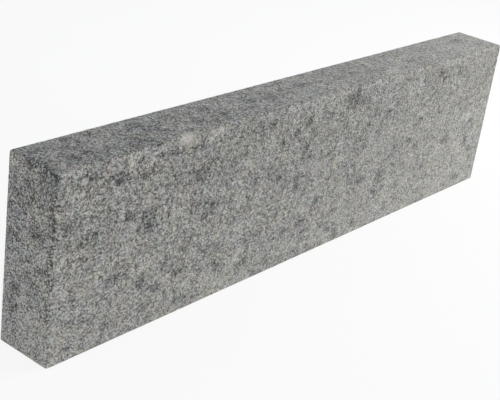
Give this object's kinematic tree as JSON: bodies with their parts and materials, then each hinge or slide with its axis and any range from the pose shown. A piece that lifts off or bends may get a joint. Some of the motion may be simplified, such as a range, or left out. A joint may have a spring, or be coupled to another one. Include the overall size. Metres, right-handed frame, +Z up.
{
  "type": "granite kerb stone",
  "caption": "Long straight granite kerb block of plain rectangular section with worn, slightly chipped arrises, set on edge to border paving, lawns or beds.",
  "frame": {"origin": "middle of the bed, the long narrow face that the stone stands on", "axes": "+X along the stone's length, +Y from its front face through its thickness to its back face, +Z up from the bed to the exposed top"},
  "size_m": [1, 0.084, 0.25],
  "materials": {
    "granite": "rough, fine-grained grey granite with a textured (bush-hammered or flamed) surface on every face seen"
  },
  "bodies": {
    "root": {"kerb_stone": "granite"}
  },
  "joints": []
}
